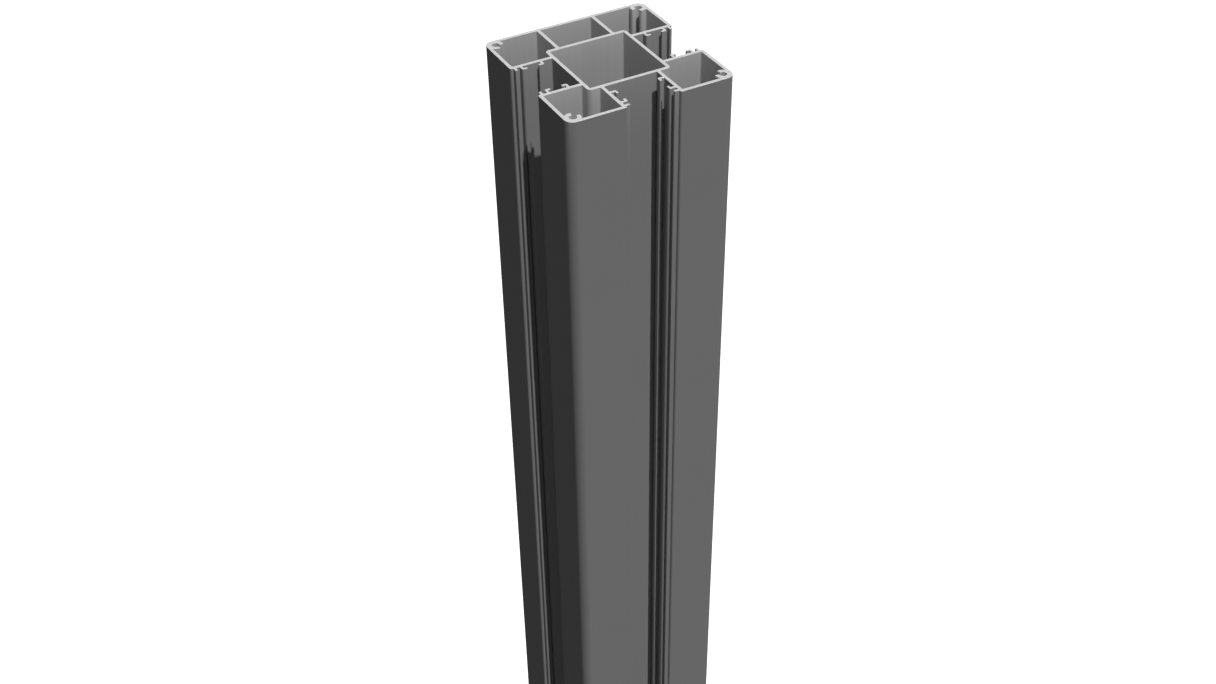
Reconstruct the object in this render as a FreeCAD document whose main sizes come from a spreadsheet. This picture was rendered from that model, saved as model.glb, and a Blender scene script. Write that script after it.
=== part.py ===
import FreeCAD, Part
import math
import os

import Sketcher

# One-piece extruded aluminium fence post: a square middle tube, four corner chambers with a
# screw port in each, panel slots on three sides and a closed back.
# Millimetres. +Z runs up the post, the origin is the middle of the sawn base, and the closed
# back faces +Y. Every outline is drawn on the base plane and runs the whole length, as the
# extruded section does.

driving = {
    "postWidth": 100,          # across the flats
    "postLength": 1000,        # sawn length
    "cornerRadius": 5.2,       # outer corners
    "outerWall": 2,            # outer skin
    "flankWall": 2,            # slot flanks, and the two ribs behind the back wall
    "coreWidth": 50,           # middle tube, outside
    "coreWall": 2,
    "coreRadius": 2.5,         # outer corners of the middle tube
    "slotWidth": 32,           # between the flanks of a panel slot
    "mouthRadius": 1,          # edges of the skin at a slot mouth
    "dieRadius": 0.5,          # inside corners of the hollows and slots
    "portBore": 4.3,           # screw port, bore diameter
    "portWall": 2.4,           # thickness of its open ring
    "portSkin": 0.65,          # from the ring out to the post's faces
    "portOpening": 62,         # degrees between the two ends of the ring
    "portTipRadius": 0.8,      # outer corners of those ends
    "lipThickness": 1.5,       # stop lip just inside a slot mouth
    "lipReach": 2.8,           # out from the flank
    "lipSetback": 1.75,        # behind the outer face
    "hookThickness": 1.5,      # stems of the gasket hooks
    "hookReach": 3.6,          # out from the flank
    "hookRadius": 1,           # knee between stem and foot
    "footThickness": 1.4,
    "footLength": 3.25,        # from the back of the stem to the toe
    "tipRadius": 0.3,          # ends of lips and feet
    "hookSetback": 5.45,       # outer hook behind the outer face
    "grooveWidth": 13.25,      # over the backs of the two hooks that face each other
}
cornerCount = 4
slotCount = 3
slotSweep = 180                # degrees from the first slot to the last

doc = FreeCAD.newDocument("fencePost")
sheet = doc.addObject("Spreadsheet::Sheet", "sizes")
for row, (name, value) in enumerate(driving.items(), start=1):
    sheet.set("A%d" % row, name)
    sheet.set("B%d" % row, str(value))
    sheet.setAlias("B%d" % row, name)
doc.recompute()


class Size:
    """A value with the sheet formula that gives it, so that what is drawn is also bound."""

    def __init__(self, value, formula):
        self.value = float(value)
        self.formula = formula

    def joined(self, sign, other, value):
        text = other.formula if isinstance(other, Size) else repr(other)
        return Size(value, "(%s %s %s)" % (self.formula, sign, text))

    def __add__(self, other):
        return self.joined("+", other, self.value + other.value)

    def __sub__(self, other):
        return self.joined("-", other, self.value - other.value)

    def __truediv__(self, divisor):
        return self.joined("/", divisor, self.value / divisor)

    def __neg__(self):
        return Size(-self.value, "(-1 * %s)" % self.formula)


def size(name):
    return Size(sheet.get(name), "sizes.%s" % name)


# Places, measured from the post's axis.
outerFace = size("postWidth") / 2
skinInside = outerFace - size("outerWall")
pastFace = outerFace + size("outerWall")
coreFace = size("coreWidth") / 2
coreInside = coreFace - size("coreWall")
flankFace = size("slotWidth") / 2
flankMiddle = flankFace + size("flankWall") / 2
flankBack = flankFace + size("flankWall")
boreRadius = size("portBore") / 2
ringRadius = boreRadius + size("portWall")
pastRing = ringRadius + size("portWall")
portCentre = outerFace - size("portSkin") - ringRadius
lipFront = outerFace - size("lipSetback")
hookFront = outerFace - size("hookSetback")
grooveEnd = hookFront - size("grooveWidth")
dieRadius = size("dieRadius")
sharp = None

body = doc.addObject("PartDesign::Body", "postProfile")
body.Label = "post_profile"


def originFeature(role):
    return next(item for item in body.Origin.OriginFeatures if item.Role == role)


def newSketch(name):
    sketch = body.newObject("Sketcher::SketchObject", name)
    sketch.AttachmentSupport = [(originFeature("XY_Plane"), "")]
    sketch.MapMode = "FlatFace"
    return sketch


def constrain(sketch, loose, bound):
    """Adds plain constraints, then (constraint, size) pairs that follow the sheet."""
    sketch.addConstraint(loose)
    indices = sketch.addConstraint([constraint for constraint, target in bound])
    for index, (constraint, target) in zip(indices, bound):
        sketch.setExpression("Constraints[%d]" % index, target.formula)


def placed(item, end, x, y):
    """Ties a point to its distances from the post's axis."""
    return [(Sketcher.Constraint("DistanceX", -1, 1, item, end, x.value), x),
            (Sketcher.Constraint("DistanceY", -1, 1, item, end, y.value), y)]


def circleAt(centre, radius):
    return Part.Circle(centre, FreeCAD.Vector(0, 0, 1), radius)


def unit(vector):
    return vector / vector.Length


def roundedCorner(point, before, after, radius):
    """Where a fillet leaves its two sides, its arc, and which end of the arc comes first."""
    back, ahead = unit(before - point), unit(after - point)
    half = back.getAngle(ahead) / 2
    first = point + back * (radius / math.tan(half))
    last = point + ahead * (radius / math.tan(half))
    centre = point + unit(back + ahead) * (radius / math.sin(half))
    leftTurn = ahead.cross(back).z > 0
    low, high = (first - centre, last - centre) if leftTurn else (last - centre, first - centre)
    start, end = math.atan2(low.y, low.x), math.atan2(high.y, high.x)
    if end < start:
        end += 2 * math.pi
    arc = Part.ArcOfCircle(circleAt(centre, radius), start, end)
    return first, last, arc, (1, 2) if leftTurn else (2, 1)


def outline(sketch, corners):
    """Draws a closed outline through (x, y, radius) corners and ties each corner to the sheet."""
    points = [FreeCAD.Vector(x.value, y.value, 0) for x, y, radius in corners]
    following = points[1:] + points[:1]
    arrive, leave, arcs = list(points), list(points), {}
    for index, (x, y, radius) in enumerate(corners):
        if radius is not sharp:
            arrive[index], leave[index], arc, ends = roundedCorner(
                points[index], points[index - 1], following[index], radius.value)
            arcs[index] = sketch.addGeometry(arc, False), ends
    sides = [sketch.addGeometry(Part.LineSegment(leave[index - 1], arrive[index]), False)
             for index in range(len(points))]
    loose, bound = [], []
    for index, (x, y, radius) in enumerate(corners):
        before, after = sides[index], sides[(index + 1) % len(sides)]
        if radius is sharp:
            loose.append(Sketcher.Constraint("Coincident", before, 2, after, 1))
            bound += placed(after, 1, x, y)
            continue
        arc, (first, last) = arcs[index]
        vertex = sketch.addGeometry(Part.Point(points[index]), True)
        loose += [Sketcher.Constraint("Tangent", before, 2, arc, first),
                  Sketcher.Constraint("Tangent", arc, last, after, 1),
                  Sketcher.Constraint("PointOnObject", vertex, 1, before),
                  Sketcher.Constraint("PointOnObject", vertex, 1, after)]
        bound.append((Sketcher.Constraint("Radius", arc, radius.value), radius))
        bound += placed(vertex, 1, x, y)
    constrain(sketch, loose, bound)


def box(sketch, xLow, xHigh, yLow, yHigh, radius):
    outline(sketch, [(xLow, yLow, radius), (xHigh, yLow, radius),
                     (xHigh, yHigh, radius), (xLow, yHigh, radius)])


def disc(sketch, x, y, radius):
    centre = FreeCAD.Vector(x.value, y.value, 0)
    edge = sketch.addGeometry(circleAt(centre, radius.value), False)
    ties = placed(edge, 3, x, y)
    constrain(sketch, [], ties + [(Sketcher.Constraint("Radius", edge, radius.value), radius)])


def keyhole(sketch, x, y, inside, outside, opening):
    """A bore, and a mouth towards the post's axis whose two sides point at the bore's centre."""
    centre = FreeCAD.Vector(x.value, y.value, 0)
    diagonal = Size(45, "45")
    low, high = diagonal - opening / 2, diagonal + opening / 2
    start, end = math.radians(low.value), math.radians(high.value)

    def side(turn):
        ray = FreeCAD.Vector(math.cos(turn), math.sin(turn), 0)
        return Part.LineSegment(centre + ray * inside.value, centre + ray * outside.value)

    bore = sketch.addGeometry(
        Part.ArcOfCircle(circleAt(centre, inside.value), end, start + 2 * math.pi), False)
    mouth = sketch.addGeometry(
        Part.ArcOfCircle(circleAt(centre, outside.value), start, end), False)
    lowSide = sketch.addGeometry(side(start), False)
    highSide = sketch.addGeometry(side(end), False)
    constrain(sketch, [
        Sketcher.Constraint("Coincident", bore, 3, mouth, 3),
        Sketcher.Constraint("Coincident", bore, 2, lowSide, 1),
        Sketcher.Constraint("Coincident", bore, 1, highSide, 1),
        Sketcher.Constraint("Coincident", mouth, 1, lowSide, 2),
        Sketcher.Constraint("Coincident", mouth, 2, highSide, 2),
        Sketcher.Constraint("PointOnObject", bore, 3, lowSide),
        Sketcher.Constraint("PointOnObject", bore, 3, highSide),
    ], placed(bore, 3, x, y) + [
        (Sketcher.Constraint("Radius", bore, inside.value), inside),
        (Sketcher.Constraint("Radius", mouth, outside.value), outside),
        (Sketcher.Constraint("Angle", lowSide, start), low),
        (Sketcher.Constraint("Angle", highSide, end), high),
    ])


def extrude(kind, name, sketch):
    """Pads or pockets a sketch over the whole length, and makes sure that it did something."""
    before = body.Shape.Volume if body.Tip else 0
    feature = body.newObject("PartDesign::" + kind, name)
    feature.Profile = sketch
    feature.setExpression("Length", "sizes.postLength")
    feature.Reversed = kind == "Pocket"        # a pocket goes down from its plane unless turned
    body.Tip = feature
    sketch.Visibility = False
    doc.recompute()
    change = body.Shape.Volume - before
    if (change > 0) != (kind == "Pad"):
        raise RuntimeError("%s changed the volume by %.3f" % (name, change))
    return feature


def turned(name, feature, copies, sweep):
    """Repeats a feature about the post's axis."""
    pattern = body.newObject("PartDesign::PolarPattern", name)
    pattern.Originals = [feature]
    pattern.Axis = (originFeature("Z_Axis"), [""])
    pattern.Angle = sweep
    pattern.Occurrences = copies
    body.Tip = pattern
    doc.recompute()


def roundEdges(name, wanted, count, radius):
    """Fillets the edges along the post whose (x, y) the test accepts: as many as expected."""
    rough = body.Tip
    halfway = size("postLength").value / 2
    names = []
    for index, edge in enumerate(rough.Shape.Edges, start=1):
        start, end = edge.firstVertex().Point, edge.lastVertex().Point
        if abs(start.z - end.z) > halfway and wanted(abs(start.x), abs(start.y)):
            names.append("Edge%d" % index)
    if len(names) != count:
        raise RuntimeError("%s found %d edges, not %d" % (name, len(names), count))
    fillet = body.newObject("PartDesign::Fillet", name)
    fillet.Base = (rough, names)
    fillet.setExpression("Radius", radius.formula)
    body.Tip = fillet
    doc.recompute()


def near(place, target):
    return abs(place - target.value) < 0.01


# The block: the outside of the post before anything is hollow.
block = newSketch("blockOutline")
box(block, -outerFace, outerFace, -outerFace, outerFace, size("cornerRadius"))
extrude("Pad", "block", block)

# Corner chambers, between the skin and the slot flanks. The skin keeps its thickness round
# the corner.
chamber = newSketch("cornerChamberOutline")
outline(chamber, [
    (-skinInside, -skinInside, size("cornerRadius") - size("outerWall")),
    (-flankBack, -skinInside, dieRadius),
    (-flankBack, -flankBack, dieRadius),
    (-skinInside, -flankBack, dieRadius),
])
turned("cornerChambers", extrude("Pocket", "cornerChamber", chamber), cornerCount, 360)

# The middle tube, whose corners stand a little way into the corner chambers.
core = newSketch("coreOutline")
box(core, -coreFace, coreFace, -coreFace, coreFace, size("coreRadius"))
extrude("Pad", "core", core)
coreBore = newSketch("coreBoreOutline")
box(coreBore, -coreInside, coreInside, -coreInside, coreInside, dieRadius)
extrude("Pocket", "coreBore", coreBore)

# Screw ports in the corners: a boss, then a keyhole that bores it and opens it inwards.
boss = newSketch("portBossOutline")
disc(boss, -portCentre, -portCentre, ringRadius)
turned("portBosses", extrude("Pad", "portBoss", boss), cornerCount, 360)
opening = newSketch("portKeyholeOutline")
keyhole(opening, -portCentre, -portCentre, boreRadius, pastRing, size("portOpening"))
turned("portKeyholes", extrude("Pocket", "portKeyhole", opening), cornerCount, 360)


def atRingEnd(x, y):
    """The outer corners of the two ends of a port's ring."""
    fromCentre = math.hypot(x - portCentre.value, y - portCentre.value)
    return near(fromCentre, ringRadius) and max(x, y) < portCentre.value


roundEdges("ringEnds", atRingEnd, 2 * cornerCount, size("portTipRadius"))

# The chamber behind the back wall, between the two ribs.
backChamber = newSketch("backChamberOutline")
box(backChamber, -flankFace, flankFace, coreFace, skinInside, dieRadius)
extrude("Pocket", "backChamber", backChamber)

# The left panel slot, open to -X. Turned about the post it gives the front and right ones.
slot = newSketch("panelSlotOutline")
outline(slot, [
    (-pastFace, -flankFace, sharp),
    (-coreFace, -flankFace, dieRadius),
    (-coreFace, flankFace, dieRadius),
    (-pastFace, flankFace, sharp),
])
turned("panelSlots", extrude("Pocket", "panelSlot", slot), slotCount, slotSweep)


def atMouth(x, y):
    """Where a slot flank meets the outer face."""
    return near(min(x, y), flankFace) and near(max(x, y), outerFace)


roundEdges("mouthEdges", atMouth, 2 * slotCount, size("mouthRadius"))

# On both flanks of each slot: a stop lip, then two gasket hooks whose feet face each other.
flankDetails = newSketch("flankDetailOutlines")


def lipAndHooks(side):
    """side turns a distance from the slot's middle into a place on one flank or the other."""
    root = side(flankMiddle)
    lipEnd = side(flankFace - size("lipReach"))
    sole = side(flankFace - size("hookReach"))
    instep = side(flankFace - size("hookReach") + size("footThickness"))
    tip = size("tipRadius")
    lipBack = lipFront - size("lipThickness")
    outline(flankDetails, [(-lipFront, root, sharp), (-lipBack, root, sharp),
                           (-lipBack, lipEnd, tip), (-lipFront, lipEnd, tip)])
    hooks = [
        (hookFront, hookFront - size("hookThickness"), hookFront - size("footLength")),
        (grooveEnd, grooveEnd + size("hookThickness"), grooveEnd + size("footLength")),
    ]
    for heel, stem, toe in hooks:
        outline(flankDetails, [(-heel, root, sharp), (-heel, sole, size("hookRadius")),
                               (-toe, sole, tip), (-toe, instep, tip),
                               (-stem, instep, tip), (-stem, root, sharp)])


lipAndHooks(lambda place: place)
lipAndHooks(lambda place: -place)
turned("slotDetails", extrude("Pad", "flankDetails", flankDetails), slotCount, slotSweep)

for item in doc.Objects:
    if "Invalid" in item.State or "Error" in item.State:
        raise RuntimeError("%s did not compute: %s" % (item.Name, item.State))
shape = body.Shape
if shape.isNull() or not shape.isValid() or len(shape.Solids) != 1:
    raise RuntimeError("the post is not one valid solid")

os.makedirs("parts", exist_ok=True)
shape.exportStep("parts/%s.step" % body.Label)
print("section %.1f mm2, volume %.0f mm3, %d faces" % (
    shape.Volume / size("postLength").value, shape.Volume, len(shape.Faces)))
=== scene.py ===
import bmesh
import bpy
import numpy as np
from mathutils import Matrix, Vector


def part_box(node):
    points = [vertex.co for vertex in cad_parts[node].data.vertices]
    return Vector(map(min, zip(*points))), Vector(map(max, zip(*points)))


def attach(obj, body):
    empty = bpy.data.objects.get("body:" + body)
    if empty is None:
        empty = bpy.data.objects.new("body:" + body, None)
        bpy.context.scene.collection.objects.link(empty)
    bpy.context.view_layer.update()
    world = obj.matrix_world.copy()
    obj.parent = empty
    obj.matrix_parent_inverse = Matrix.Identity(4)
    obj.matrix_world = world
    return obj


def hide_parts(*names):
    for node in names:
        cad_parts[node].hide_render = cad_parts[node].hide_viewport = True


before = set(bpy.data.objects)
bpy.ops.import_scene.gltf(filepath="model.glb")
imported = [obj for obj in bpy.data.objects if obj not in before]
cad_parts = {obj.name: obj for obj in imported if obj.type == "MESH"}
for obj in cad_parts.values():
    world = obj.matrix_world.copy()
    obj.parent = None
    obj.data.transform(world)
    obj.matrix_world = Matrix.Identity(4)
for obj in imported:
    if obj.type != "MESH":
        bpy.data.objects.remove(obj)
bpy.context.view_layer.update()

cadLow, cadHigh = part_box("post_profile")
millimetre = 0.001
quarter = np.pi / 2                        # a quarter turn
coatSlot, millSlot, sawSlot = 0, 1, 2      # the post's material slots

postValues = {                 # millimetres
    "cornerRadius": 5.2,       # outer corners
    "outerWall": 2.0,
    "flankWall": 2.0,          # slot flanks, and the ribs behind the closed back
    "coreWidth": 50.0,         # middle tube, outside
    "coreWall": 2.0,
    "coreRadius": 2.5,         # its outer corners
    "slotWidth": 32.0,
    "mouthRadius": 1.0,        # a slot's edges in the outer face
    "dieRadius": 0.5,          # inside corners
    "rootRadius": 0.25,        # where lips, hooks and port rings meet a wall
    "portBore": 4.3,
    "portWall": 2.4,
    "portSkin": 0.65,          # from a port's ring to the outer faces
    "portOpening": 62.0,       # degrees between the two ends of a ring
    "portTipRadius": 0.8,
    "portEdgeRadius": 0.2,     # where a ring's end meets its bore
    "lipThickness": 1.5,
    "lipReach": 2.8,           # from the flank
    "lipSetback": 1.75,        # from the outer face
    "hookThickness": 1.5,
    "hookReach": 3.6,          # from the flank
    "hookRadius": 1.0,         # a hook's heel
    "footThickness": 1.4,
    "footLength": 3.25,        # from the heel
    "tipRadius": 0.3,
    "hookSetback": 5.45,       # from the outer face to the first hook's heel
    "grooveWidth": 13.25,      # from that heel to the second hook's
    "cutEdge": 0.14,           # rounding where the saw's burr was brushed off
    "cutEdgeSteps": 3,
    "chordError": 0.006,       # the most that a facet may stray from its arc
    "coarsestStep": 18.0,      # degrees
    "samePoint": 0.0001,       # points nearer than this are one
}


# The section is drawn in the complex plane, x + iy, in millimetres. Every outline is a row of
# arcs joined by straight lines, walked with the metal on its left. An arc is centre, radius,
# starting angle and turn, and a turn to the left is positive.

def arc(centre, radius, start, turn):
    return np.array([[centre, radius, start, turn]], complex)


def unit(vector):
    return vector / np.abs(vector)


def pointing(angle):
    return np.exp(1j * angle)


# The rounded corners of a polygon. With half the angle between its two sides, an arc's centre
# lies radius / sin(half) from the corner along the bisector, and the arc starts
# radius / tan(half) before the corner.
def cornerArcs(corners, radii):
    corners, radii = np.array(corners, complex), np.array(radii, float)
    back = unit(np.roll(corners, 1) - corners)
    ahead = unit(np.roll(corners, -1) - corners)
    half = np.arccos(np.clip((back * ahead.conj()).real, -1, 1)) / 2
    centre = corners + unit(back + ahead) * radii / np.sin(half)
    start = corners + back * radii / np.tan(half)
    return np.stack([centre, radii, np.angle(start - centre), np.angle(-ahead / back)], 1)


# Arcs carried round the post's axis: a centre is multiplied by i for each quarter turn.
def turned(arcs, quarters):
    centre, radius, start, turn = arcs.T
    return np.stack([centre * 1j ** quarters, radius, start + quarters * quarter, turn], 1)


# A rectangular hole with rounded corners, walked clockwise.
def hole(xLow, xHigh, yLow, yHigh, radius):
    corners = [complex(xLow, yLow), complex(xLow, yHigh),
               complex(xHigh, yHigh), complex(xHigh, yLow)]
    return cornerArcs(corners, [radius] * len(corners))


# The open ring of the screw port at +X +Y: its root on the wall, its outside, its rounded end,
# its bore, and then the same mirrored about the diagonal. A mirrored direction is a quarter
# turn less the direction, and each mirrored arc starts where the first one ended.
def portArcs(v, outer):
    bore = v["portBore"] / 2
    ring = bore + v["portWall"]
    centre = (outer - v["portSkin"] - ring) * (1 + 1j)
    root, tip, edge = v["rootRadius"], v["portTipRadius"], v["portEdgeRadius"]
    wallGap = outer - v["outerWall"] - root - centre.imag
    inward = 2.5 * quarter                 # from the port to the post's axis
    rootAngle = 2 * quarter - np.arcsin(wallGap / (ring + root))
    endAngle = inward - np.radians(v["portOpening"]) / 2
    tipAngle = endAngle - np.arcsin(tip / (ring - tip))
    edgeAngle = endAngle - np.arcsin(edge / (bore + edge))
    half = np.concatenate([
        arc(centre + (ring + root) * pointing(rootAngle), root, quarter, rootAngle - 3 * quarter),
        arc(centre, ring, rootAngle, tipAngle - rootAngle),
        arc(centre + (ring - tip) * pointing(tipAngle), tip, tipAngle,
            endAngle + quarter - tipAngle),
        arc(centre + (bore + edge) * pointing(edgeAngle), edge, endAngle + quarter,
            edgeAngle + quarter - endAngle),
    ])
    places, radii, starts, turns = half[::-1].T
    mirrored = np.stack([1j * places.conj(), radii, quarter - starts - turns, turns], 1)
    return np.concatenate([half, arc(centre, bore, edgeAngle, quarter - 2 * edgeAngle), mirrored])


# The corner chamber at +X +Y, with its port in place of the corner that lies outermost.
def cornerChamber(v, outer):
    inside = outer - v["outerWall"]
    rib = v["slotWidth"] / 2 + v["flankWall"]
    core = v["coreWidth"] / 2
    die = v["dieRadius"]
    corners = [complex(rib, inside), complex(inside, inside), complex(inside, rib),
               complex(core, rib), complex(core, core), complex(rib, core)]
    arcs = cornerArcs(corners, [die, die, die, die, v["coreRadius"], die])
    return np.concatenate([arcs[:1], portArcs(v, outer), arcs[2:]])


# One flank of a slot from its mouth to its floor, as (out from the post's axis, off the slot's
# middle, radius): a stop lip, then two gasket hooks whose feet face each other.
def flankCorners(v, outer):
    flank, root, tip = v["slotWidth"] / 2, v["rootRadius"], v["tipRadius"]
    lipFront = outer - v["lipSetback"]
    lipBack = lipFront - v["lipThickness"]
    lipEnd = flank - v["lipReach"]
    sole = flank - v["hookReach"]
    instep = sole + v["footThickness"]
    outerHeel = outer - v["hookSetback"]
    innerHeel = outerHeel - v["grooveWidth"]

    def hook(heel, way):
        stem = heel + way * v["hookThickness"]
        toe = heel + way * v["footLength"]
        return [(heel, flank, root), (heel, sole, v["hookRadius"]), (toe, sole, tip),
                (toe, instep, tip), (stem, instep, root), (stem, flank, root)]

    mouth = [(outer, flank, v["mouthRadius"])]
    lip = [(lipFront, flank, root), (lipFront, lipEnd, tip),
           (lipBack, lipEnd, tip), (lipBack, flank, root)]
    floor = [(v["coreWidth"] / 2, flank, v["dieRadius"])]
    return np.array(mouth + lip + hook(outerHeel, -1) + hook(innerHeel, 1)[::-1] + floor)


# The outside: each side is its slot, if it has one, and then the corner that ends it. A side is
# drawn facing +X and multiplied by the unit number of the way that it faces.
def outsideArcs(v, outer):
    out, off, radius = flankCorners(v, outer).T
    corner, cornerRadius = np.array([complex(outer, outer)]), [v["cornerRadius"]]
    slotted = np.concatenate([out - 1j * off, (out + 1j * off)[::-1], corner])
    slottedRadii = np.concatenate([radius, radius[::-1], cornerRadius])
    front, right, back, left = -1j, 1, 1j, -1
    corners = [slotted * front, slotted * right, corner * back, slotted * left]
    radii = [slottedRadii, slottedRadii, cornerRadius, slottedRadii]
    return cornerArcs(np.concatenate(corners), np.concatenate(radii))


# The outside, the middle tube, the chamber behind the closed back, and the corner chambers.
def sectionOutlines(v, outer):
    core, flank = v["coreWidth"] / 2, v["slotWidth"] / 2
    coreInside = core - v["coreWall"]
    outlines = [outsideArcs(v, outer),
                hole(-coreInside, coreInside, -coreInside, coreInside, v["dieRadius"]),
                hole(-flank, flank, core, outer - v["outerWall"], v["dieRadius"])]
    chamber = cornerChamber(v, outer)
    return outlines + [turned(chamber, quarters) for quarters in range(4)]


# Points and outward normals of an outline: point = centre + radius * direction, and the normal
# is that direction where the walk turns left and its opposite where it turns right. Each arc
# has as many steps as keep its facets within the chord error. Where one arc runs straight into
# the next, the point that they share is kept once.
def outlinePoints(arcs, v):
    centre = arcs[:, 0]
    radius, start, turn = arcs[:, 1:].real.T
    step = 2 * np.arccos(1 - np.minimum(v["chordError"] / radius, 1))
    step = np.minimum(step, np.radians(v["coarsestStep"]))
    counts = np.ceil(np.abs(turn) / step).astype(int) + 1
    which = np.repeat(np.arange(len(arcs)), counts)
    place = np.arange(counts.sum()) - np.repeat(np.cumsum(counts) - counts, counts)
    direction = pointing(start[which] + turn[which] * place / (counts[which] - 1))
    points, outward = centre[which] + radius[which] * direction, direction * np.sign(turn[which])
    apart = np.abs(np.roll(points, -1) - points) > v["samePoint"]
    return points[apart], outward[apart]


# Height and lean of each row of points up the walls, as columns. Each sawn end has a small
# quarter round: its lean goes from -90 degrees to 0 at the base and from 0 to 90 at the top,
# and the height is that of the straight wall's end, plus edge * sin(lean).
def wallRows(v, low, high):
    edge, steps = v["cutEdge"], v["cutEdgeSteps"]
    lean = np.linspace(0, quarter, steps + 1)
    lean = np.concatenate([-lean[::-1], lean])[:, None]
    straight = np.repeat([low + edge, high - edge], steps + 1)[:, None]
    return straight + edge * np.sin(lean), lean


# The four corners of each cell of a grid, in the order that makes the cell face outwards.
def cells(grid):
    return np.stack([grid[:-1, :-1], grid[:-1, 1:], grid[1:, 1:], grid[1:, :-1]], 2)


# One outline carried up the post, as a surface of two parameters, the way round and the row.
# A point lies edge * (1 - cos(lean)) into the metal from the outline. Its normal is the
# outline's times cos(lean), and sin(lean) upwards. Its place in the layout is the way walked
# round the outline, and the height.
def carriedUp(points, outward, height, lean, v, finish, first):
    rows = points - outward * v["cutEdge"] * (1 - np.cos(lean))
    tilted = outward * np.cos(lean)
    places = np.stack([rows.real, rows.imag, np.broadcast_to(height, rows.shape)], 2)
    normals = np.stack([tilted.real, tilted.imag, np.broadcast_to(np.sin(lean), rows.shape)], 2)
    number = first + np.arange(rows.size).reshape(rows.shape)
    quads = cells(np.concatenate([number, number[:, :1]], 1))
    walked = np.concatenate([[0], np.cumsum(np.abs(np.roll(points, -1) - points))])
    layout = cells(np.stack(np.broadcast_arrays(walked, height), 2))
    slots = np.full(quads.shape[:2], sawSlot)
    slots[v["cutEdgeSteps"]] = finish      # the straight wall, between the two brushed edges
    return {"places": places.reshape(-1, 3), "normals": normals.reshape(-1, 3),
            "quads": quads.reshape(-1, 4), "layout": layout.reshape(-1, 2),
            "slots": slots.ravel(), "baseRim": number[0], "topRim": number[-1]}


# One kind of the walls' arrays, joined over all the walls.
def joined(walls, kind):
    return np.concatenate([wall[kind] for wall in walls])


# Triangles over the flat region between closed rims, whose points come one rim after another:
# a point is joined to the next, and the last of a rim to its first.
def filledBetween(points, counts):
    index = np.arange(len(points))
    rims = np.split(index, np.cumsum(counts)[:-1])
    following = np.concatenate([np.roll(rim, -1) for rim in rims])
    sheet = bpy.data.meshes.new("sheet")
    sheet.from_pydata(points, np.stack([index, following], 1).tolist(), [])
    surface = bmesh.new()
    surface.from_mesh(sheet)
    bmesh.ops.triangle_fill(surface, use_beauty=True, edges=surface.edges)
    surface.to_mesh(sheet)
    surface.free()
    fill = np.empty(len(sheet.loops), np.int32)
    sheet.loops.foreach_get("vertex_index", fill)
    bpy.data.meshes.remove(sheet)
    return fill.reshape(-1, 3)


# The sawn faces: triangles between the rims of the top, and the same turned over for the base.
# With two sides taken from the same corner, twice a triangle's area is the imaginary part of
# the first side's conjugate times the second. Where it is negative the triangle faces down,
# and is turned over.
def sawnFaces(places, walls):
    top, base = joined(walls, "topRim"), joined(walls, "baseRim")
    fill = filledBetween(places[top], [len(wall["topRim"]) for wall in walls])
    one, two, three = (places[top] @ [1, 1j, 0])[fill].T
    down = ((two - one).conj() * (three - one)).imag < 0
    fill[down] = fill[down][:, ::-1]
    return np.concatenate([top[fill], base[fill[:, ::-1]]])


# The post is every outline of the section carried up from low to high, closed by the two sawn
# faces. The walls' faces come first, then the top's and the base's.
def buildPost(name, v, low, high):
    outer = (high.x - low.x) / 2 / millimetre
    middle = complex(low.x + high.x, low.y + high.y) / 2 / millimetre
    height, lean = wallRows(v, low.z / millimetre, high.z / millimetre)
    walls = []
    first = 0
    for number, arcs in enumerate(sectionOutlines(v, outer)):
        points, outward = outlinePoints(arcs, v)
        finish = millSlot if number else coatSlot      # the first outline is the outside
        walls.append(carriedUp(middle + points, outward, height, lean, v, finish, first))
        first += len(height) * len(points)
    places, quads = joined(walls, "places"), joined(walls, "quads")
    ends = sawnFaces(places, walls)
    endNormals = np.repeat([[0.0, 0.0, 1.0], [0.0, 0.0, -1.0]], ends.size // 2, 0)
    normals = np.concatenate([joined(walls, "normals")[quads.ravel()], endNormals])
    layout = np.concatenate([joined(walls, "layout"), places[ends.ravel(), :2]]) * millimetre
    slots = np.concatenate([joined(walls, "slots"), np.full(len(ends), sawSlot)])

    mesh = bpy.data.meshes.new(name)
    mesh.from_pydata(places * millimetre, [], quads.tolist() + ends.tolist())
    mesh.uv_layers.new(name="walk").data.foreach_set("uv", layout.ravel())
    mesh.polygons.foreach_set("material_index", slots)
    mesh.normals_split_custom_set(normals.tolist())
    mesh.update()
    post = bpy.data.objects.new(name, mesh)
    bpy.context.scene.collection.objects.link(post)
    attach(post, "root")
    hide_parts("post_profile")
    print("post:", len(walls), "outlines,", len(places), "points,", len(slots), "faces")
    return post


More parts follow.
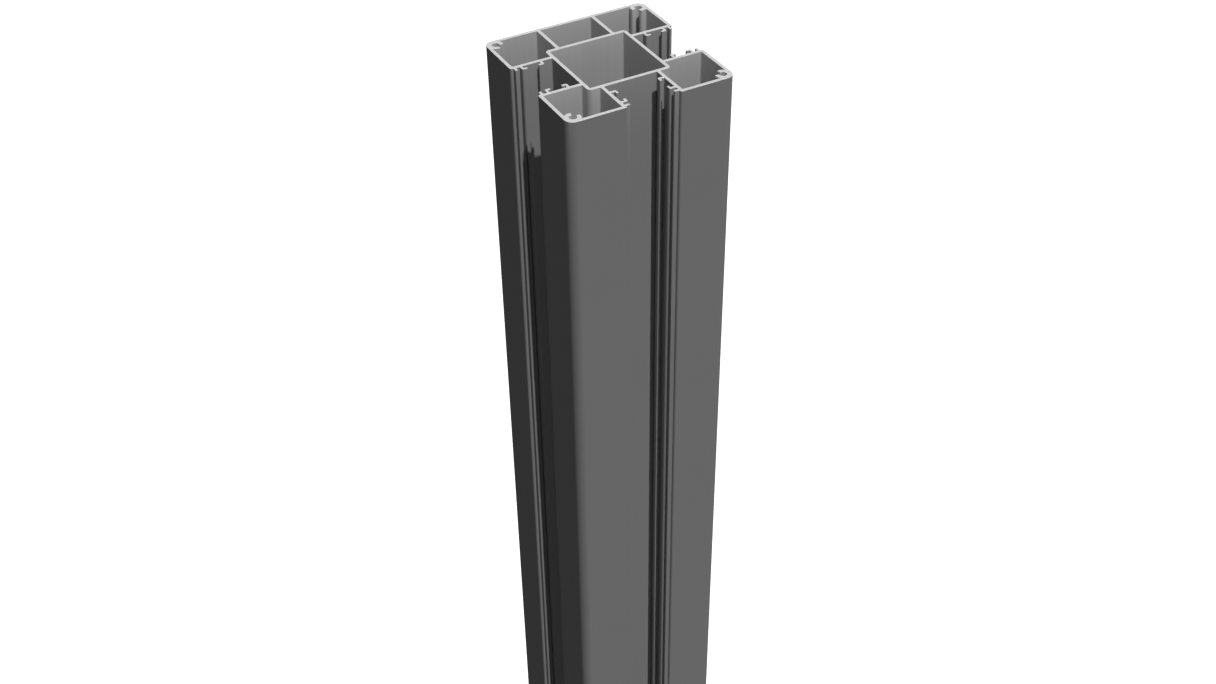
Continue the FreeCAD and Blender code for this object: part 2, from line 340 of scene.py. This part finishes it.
# Shader maths: a Link is a socket, and the operators on it add Math nodes. make adds any other
# node, with its inputs in order or by name, where _ is a space. also is a second output of the
# same node.
class Link:
    def __init__(self, tree, socket=None):
        self.tree = tree
        self.socket = socket

    def make(self, kind, output, settings=None, *inOrder, **byName):
        node = self.tree.nodes.new(kind)
        for key, value in (settings or {}).items():
            setattr(node, key, value)
        values = list(zip(node.inputs, inOrder))
        values += [(node.inputs[key.replace("_", " ")], value) for key, value in byName.items()]
        for socket, value in values:
            if isinstance(value, Link):
                self.tree.links.new(value.socket, socket)
            else:
                socket.default_value = value
        return Link(self.tree, node.outputs[output])

    def also(self, output):
        return Link(self.tree, self.socket.node.outputs[output])

    def maths(self, operation, *values):
        return self.make("ShaderNodeMath", 0, {"operation": operation}, *values)

    def __add__(self, other):
        return self.maths("ADD", self, other)

    def __radd__(self, other):
        return self.maths("ADD", other, self)

    def __sub__(self, other):
        return self.maths("SUBTRACT", self, other)

    def __rsub__(self, other):
        return self.maths("SUBTRACT", other, self)

    def __mul__(self, other):
        return self.maths("MULTIPLY", self, other)

    def __rmul__(self, other):
        return self.maths("MULTIPLY", other, self)

    def __truediv__(self, other):
        return self.maths("DIVIDE", self, other)

    def __rtruediv__(self, other):
        return self.maths("DIVIDE", other, self)

    def between(self, low, high):
        return self.make("ShaderNodeMapRange", 0, Value=self, To_Min=low, To_Max=high)

    def stretched(self, x, y, z):
        return self.make("ShaderNodeVectorMath", 0, {"operation": "MULTIPLY"}, self, (x, y, z))

    def noise(self, scale=1.0, detail=2.0, roughness=0.5):
        return self.make("ShaderNodeTexNoise", "Fac", Vector=self, Scale=scale, Detail=detail,
                         Roughness=roughness)

    def bump(self, strength, distance):
        return self.make("ShaderNodeBump", 0, Strength=strength, Distance=distance, Height=self)


# The start of a material's or a world's shader: its own node tree, emptied.
def emptied(owner):
    owner.use_nodes = True
    owner.node_tree.nodes.clear()
    return Link(owner.node_tree)


def intoOutput(shader, kind="ShaderNodeOutputMaterial"):
    output = shader.tree.nodes.new(kind)
    shader.tree.links.new(shader.socket, output.inputs["Surface"])


# Painted light near the sawn ends, standing in for light falling into the hollows.
paintedLightValues = {
    "paintedLightReach": 0.014,            # metres, over which the painted light dies away from a sawn end
    "chamberPaintedLight": 0.42,       # painted light: how much lighter the chamber walls are at the very end
    # painted light: how much lighter the coat inside the slots is at the very end
    "slotPaintedLight": 0.30,
    "slotLightRamp": 0.0015,        # how far in from the outer faces the slots' painted light ramps up
}


# Painted light at the sawn ends, standing in for light falling into the hollows: walls are
# lightened by exp(-depth / fade distance), where the depth is taken from the nearer end.
def paintedEndLight(place, v):
    height = place.make("ShaderNodeSeparateXYZ", "Z", Vector=place)
    depth = place.maths("MINIMUM", height - cadLow.z, cadHigh.z - height)
    return place.maths("EXPONENT", depth / -v["paintedLightReach"])


# Where the slots' painted light goes: 0 on the outer faces and 1 inside the slots, from how far a
# place lies inside the post's square, over a short ramp.
def paintedLightSlotMask(place, v):
    x = place.make("ShaderNodeSeparateXYZ", "X", Vector=place)
    outermost = place.maths("MAXIMUM", place.maths("ABSOLUTE", x),
                            place.maths("ABSOLUTE", x.also("Y")))
    return place.maths("MINIMUM", (cadHigh.x - outermost) / v["slotLightRamp"], 1.0)


coatValues = {
    "dark": 0.174, "light": 0.186,          # the coat's greys
    "cloud": 14.0, "cloudShare": 0.7,       # per metre, broad drifts in the coat
    "grain": 1100.0,                        # per metre, the peel of a fine powder coat
    "grainDetail": 3.0, "grainRoughness": 0.6,
    "peelDepth": 0.00003, "peelStrength": 0.25,     # metres, and a share of it
    "roughLow": 0.50, "roughHigh": 0.62,
    "shine": 0.0,                           # specular level: the powder is dead matt
}


# A matt coat: its grey drifts a little, a fine peel grains and dimples it, and painted light
# lightens it inside the slots near the sawn ends.
def powderCoat(v):
    material = bpy.data.materials.new("powderCoat")
    start = emptied(material)
    place = start.make("ShaderNodeTexCoord", "Object")
    cloud = place.noise(v["cloud"])
    peel = place.noise(v["grain"], v["grainDetail"], v["grainRoughness"])
    tone = cloud * v["cloudShare"] + peel * (1 - v["cloudShare"])
    # painted light: the coat is lighter inside the slots near each sawn end
    paintedLightGain = 1 + paintedEndLight(place, paintedLightValues) * paintedLightSlotMask(place, paintedLightValues) * paintedLightValues["slotPaintedLight"]
    intoOutput(start.make(
        "ShaderNodeBsdfPrincipled", 0,
        Base_Color=tone.between(v["dark"], v["light"]) * paintedLightGain,
        Roughness=peel.between(v["roughLow"], v["roughHigh"]),
        Normal=peel.bump(v["peelStrength"], v["peelDepth"]),
        Specular_IOR_Level=v["shine"]))
    return material


millValues = {
    "dark": 0.240, "light": 0.283,
    "fineLines": 2600.0, "broadLines": 420.0,      # per metre across the lines
    "drift": 0.6,                                  # per metre along them
    "fineShare": 0.6, "fineRoughness": 0.6, "broadDetail": 1.0,
    "lineDepth": 0.00002, "lineStrength": 0.3,
    "roughLow": 0.42, "roughHigh": 0.60,
    "metal": 0.10,
}


# Extrusion leaves lines along the post: noise that is stretched far along the height. Painted
# light lightens the walls near each sawn end.
def millFinish(v):
    material = bpy.data.materials.new("millFinish")
    start = emptied(material)
    walk = start.make("ShaderNodeUVMap", "UV", {"uv_map": "walk"})
    fine = walk.stretched(v["fineLines"], v["drift"], 0.0).noise(roughness=v["fineRoughness"])
    broad = walk.stretched(v["broadLines"], v["drift"], 0.0).noise(detail=v["broadDetail"])
    lines = fine * v["fineShare"] + broad * (1 - v["fineShare"])
    place = start.make("ShaderNodeTexCoord", "Object")
    # painted light: the chamber walls are lighter near each sawn end
    paintedLightGain = 1 + paintedEndLight(place, paintedLightValues) * paintedLightValues["chamberPaintedLight"]
    intoOutput(start.make(
        "ShaderNodeBsdfPrincipled", 0,
        Base_Color=lines.between(v["dark"], v["light"]) * paintedLightGain,
        Roughness=lines.between(v["roughLow"], v["roughHigh"]),
        Metallic=v["metal"],
        Normal=lines.bump(v["lineStrength"], v["lineDepth"])))
    return material


sawValues = {
    "dark": 0.479, "light": 0.588,
    "bladeCentre": (0.17, 0.11, 0.0),      # metres, so the teeth's marks are wide arcs
    "marks": 2100.0,                       # per metre of radius
    "markShare": 0.6, "markRoughness": 0.7,
    "markDepth": 0.00003, "markStrength": 0.35,
    "smear": 160.0,                        # per metre, where the brush passed over the marks
    "roughLow": 0.50, "roughHigh": 0.64,
    "metal": 0.20,
}


# The teeth of a mitre saw leave arcs about the blade's centre: noise of the distance from it.
def sawnEnd(v):
    material = bpy.data.materials.new("sawnEnd")
    start = emptied(material)
    place = start.make("ShaderNodeTexCoord", "Object")
    flat = place.stretched(1.0, 1.0, 0.0)
    radius = start.make("ShaderNodeVectorMath", "Value", {"operation": "DISTANCE"},
                        flat, v["bladeCentre"])
    marks = start.make("ShaderNodeTexNoise", "Fac", {"noise_dimensions": "1D"},
                       W=radius, Scale=v["marks"], Roughness=v["markRoughness"])
    tone = marks * v["markShare"] + place.noise(v["smear"]) * (1 - v["markShare"])
    intoOutput(start.make(
        "ShaderNodeBsdfPrincipled", 0,
        Base_Color=tone.between(v["dark"], v["light"]),
        Roughness=marks.between(v["roughLow"], v["roughHigh"]),
        Metallic=v["metal"],
        Normal=marks.bump(v["markStrength"], v["markDepth"])))
    return material


# 1 for what the camera sees, directly, in a reflection or through glass, and 0 for the light
# on the post: the greatest of the three rays' marks.
def seen(start):
    camera = start.make("ShaderNodeLightPath", "Is Camera Ray")
    bounced = start.maths("MAXIMUM", camera.also("Is Glossy Ray"),
                          camera.also("Is Transmission Ray"))
    return start.maths("MAXIMUM", camera, bounced)


floorValues = {
    "size": 12.0,                          # metres
    "grey": 0.08,                          # as light meets it, so that little bounces up
    "pale": 0.30,                          # as the camera sees it
    "glowNear": 0.70, "glowFar": 1.0,      # the white of the studio, dimmer round the post's foot
    "nearRadius": 0.12, "farRadius": 0.39,     # metres from the post's axis
}


# Matt, with a glow for the camera alone, so that the ground looks white and keeps the shadow.
def paleFloor(v):
    material = bpy.data.materials.new("paleFloor")
    start = emptied(material)
    view = seen(start)
    place = start.make("ShaderNodeTexCoord", "Object")
    distance = start.make("ShaderNodeVectorMath", "Value", {"operation": "LENGTH"}, place)
    fade = start.make("ShaderNodeMapRange", 0, {"interpolation_type": "SMOOTHSTEP"},
                      Value=distance, From_Min=v["nearRadius"], From_Max=v["farRadius"],
                      To_Min=v["glowNear"], To_Max=v["glowFar"])
    matt = start.make("ShaderNodeBsdfDiffuse", 0, Color=view * (v["pale"] - v["grey"]) + v["grey"])
    glow = start.make("ShaderNodeEmission", 0, Strength=view * fade)
    intoOutput(start.make("ShaderNodeAddShader", 0, None, matt, glow))
    return material


def buildFloor(v):
    half = v["size"] / 2
    corners = [(-half, -half, 0), (half, -half, 0), (half, half, 0), (-half, half, 0)]
    mesh = bpy.data.meshes.new("floor")
    mesh.from_pydata(corners, [], [(0, 1, 2, 3)])
    mesh.materials.append(paleFloor(v))
    floor = bpy.data.objects.new("floor", mesh)
    bpy.context.scene.collection.objects.link(floor)


# A studio that is white to the camera and gives the post no light.
def buildStudio():
    world = bpy.data.worlds.new("studio")
    start = emptied(world)
    white = start.make("ShaderNodeBackground", 0, Color=(1, 1, 1, 1), Strength=seen(start))
    intoOutput(white, "ShaderNodeOutputWorld")
    bpy.context.scene.world = world


lightValues = {                            # name: toward the light, strength, degrees, shadow
    "sun": ((-0.105, -1.0, 1.8), 3.894, 1.2, True),
    "leftFill": ((-0.5, 0.866, 0.05), 0.41, 12.0, False),
    "rightFill": ((0.906, -0.423, 0.05), 0.72, 12.0, False),
    "backFill": ((0.15, 1.0, 0.1), 0.62, 12.0, True),
}


# Suns, so only the way that each one faces counts.
def buildLights(v):
    for name, (source, strength, degrees, shadow) in v.items():
        lamp = bpy.data.lights.new(name, "SUN")
        lamp.energy = strength
        lamp.angle = np.radians(degrees)
        lamp.use_shadow = shadow
        light = bpy.data.objects.new(name, lamp)
        light.location = source
        light.rotation_euler = (-Vector(source)).to_track_quat("-Z", "Y").to_euler()
        bpy.context.scene.collection.objects.link(light)


cameraValues = {                           # fitted to the sawn face of the photographed post
    "fromTop": (-0.35665, -0.65291, 0.39682),      # metres, from the middle of the top
    "heading": -28.507,                    # degrees from +Y, and to the right where negative
    "tilt": -38.428,                       # degrees above the horizon
    "roll": -0.815,
    "lens": 45.845, "sensor": 36.0,        # millimetres
    "clipStart": 0.01, "clipEnd": 50.0,    # metres
}


# A camera starts by looking straight down. It is rolled, then raised by 90 degrees plus its
# tilt, then turned to its heading.
def buildCamera(v):
    data = bpy.data.cameras.new("camera")
    data.lens, data.sensor_width = v["lens"], v["sensor"]
    data.clip_start, data.clip_end = v["clipStart"], v["clipEnd"]
    camera = bpy.data.objects.new("camera", data)
    top = Vector((0, 0, cadHigh.z))
    turn = (Matrix.Rotation(np.radians(v["heading"]), 4, "Z")
            @ Matrix.Rotation(np.radians(90 + v["tilt"]), 4, "X")
            @ Matrix.Rotation(np.radians(v["roll"]), 4, "Z"))
    camera.matrix_world = Matrix.Translation(top + Vector(v["fromTop"])) @ turn
    bpy.context.scene.collection.objects.link(camera)
    bpy.context.scene.camera = camera


post = buildPost("postProfile", postValues, cadLow, cadHigh)
for finish in (powderCoat(coatValues), millFinish(millValues), sawnEnd(sawValues)):
    post.data.materials.append(finish)     # in the order of the slots
print("finishes:", ", ".join(slot.name for slot in post.material_slots))
buildFloor(floorValues)
buildStudio()
print("stage: a pale floor in a white studio")
buildLights(lightValues)
print("lights:", ", ".join(lightValues))
buildCamera(cameraValues)
bpy.context.scene.view_settings.view_transform = "Standard"
print("camera is in place")
